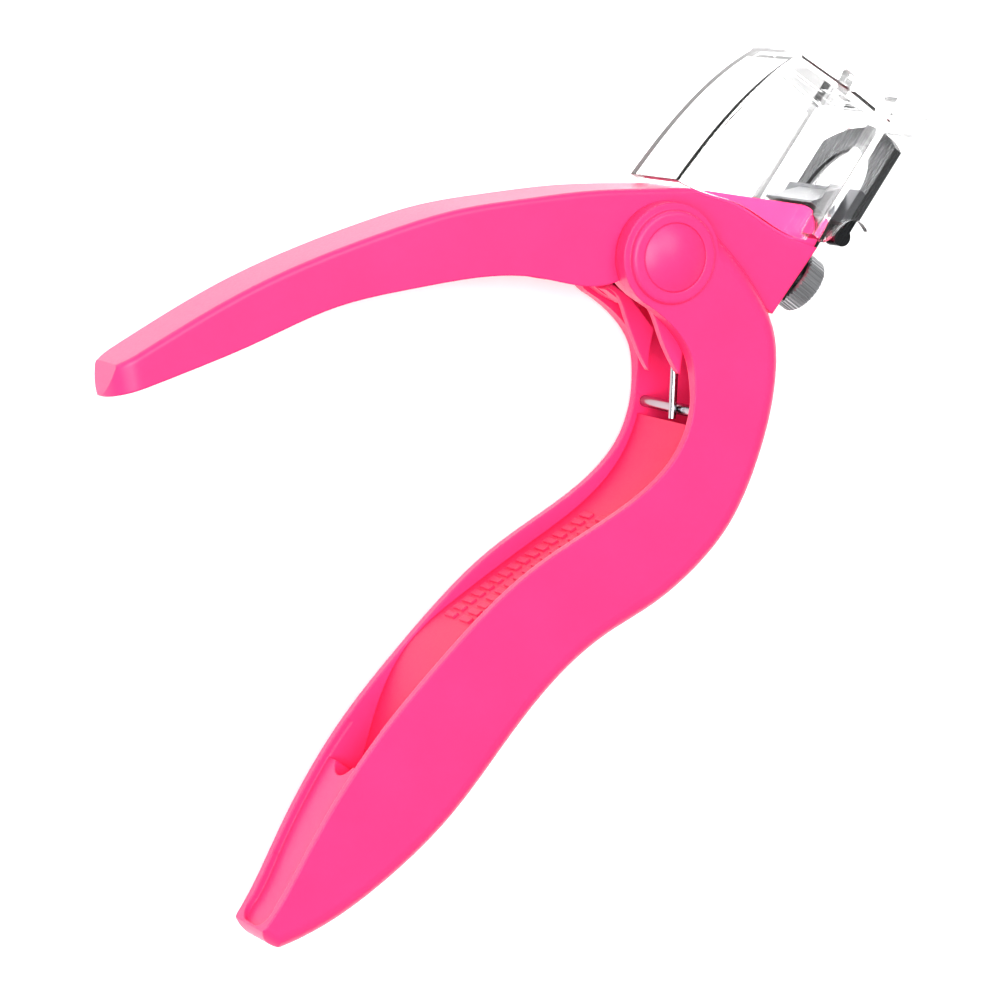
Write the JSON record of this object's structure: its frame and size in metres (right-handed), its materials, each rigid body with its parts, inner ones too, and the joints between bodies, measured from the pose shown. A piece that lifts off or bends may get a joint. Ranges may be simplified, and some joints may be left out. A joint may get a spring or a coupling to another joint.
{
  "type": "nail tip cutter",
  "caption": "Hand-squeezed nail tip cutter with crossed curved grips, a sliding ring blade, a thumb wheel and a clear clipping box round the head.",
  "frame": {"origin": "centre of the pivot's flat far cap, on the plane the tool lies on", "axes": "+Z along the handle pivot, away from the plane it lies on; +X from the pivot to the head's end; -Y is the side a nail goes in from"},
  "size_m": [0.1334, 0.0805, 0.0205],
  "materials": {
    "pink_plastic": "satin moulded",
    "pink_insert": "satin moulded",
    "clear_plastic": "clear polished",
    "blade_steel": "ground",
    "fitting_steel": "turned",
    "spring_steel": "bright drawn",
    "slip_nylon": "plain"
  },
  "bodies": {
    "lower": {"lower_handle": "pink_plastic", "channel_insert": "pink_insert", "pivot_pin": "pink_plastic", "pivot_cap": "pink_plastic", "pivot_sleeve": "fitting_steel", "slip_washers": "slip_nylon", "spring_seat_pin": "spring_steel", "drive_pin": "fitting_steel"},
    "upper": {"upper_handle": "pink_plastic", "anvil_plate": "blade_steel", "anvil_screws": "fitting_steel", "wheel_stud": "fitting_steel", "tension_washer": "fitting_steel", "torsion_spring": "spring_steel"},
    "blade": {"ring_blade": "blade_steel", "drive_yoke": "fitting_steel", "yoke_rivet": "fitting_steel"},
    "wheel": {"thumb_wheel": "fitting_steel"},
    "cover": {"clear_cover": "clear_plastic"}
  },
  "joints": [
    {"name": "handle_pivot", "type": "hinge", "parent": "lower", "child": "upper", "pos_m": [0, 0, 0.01025], "axis": [0, 0, 1], "range_deg": [0, 28.6], "stiffness_Nm_per_rad": 0.15, "springref_deg": -34.38, "deforming": ["torsion_spring"]},
    {"name": "blade_slide", "type": "slide", "parent": "upper", "child": "blade", "axis": [-1, 0, 0], "range_m": [0, 0.00785]},
    {"name": "wheel_turn", "type": "hinge", "parent": "upper", "child": "wheel", "pos_m": [0.0098, -0.0214, 0.01025], "axis": [0, -1, 0], "range_deg": [-180, 180]},
    {"name": "cover_lift", "type": "slide", "parent": "upper", "child": "cover", "axis": [1, 0, 0], "range_m": [0, 0.03]}
  ],
  "couplings": [
    {"joint": "blade_slide", "follows": "handle_pivot", "m_per_rad": 0.015637}
  ]
}
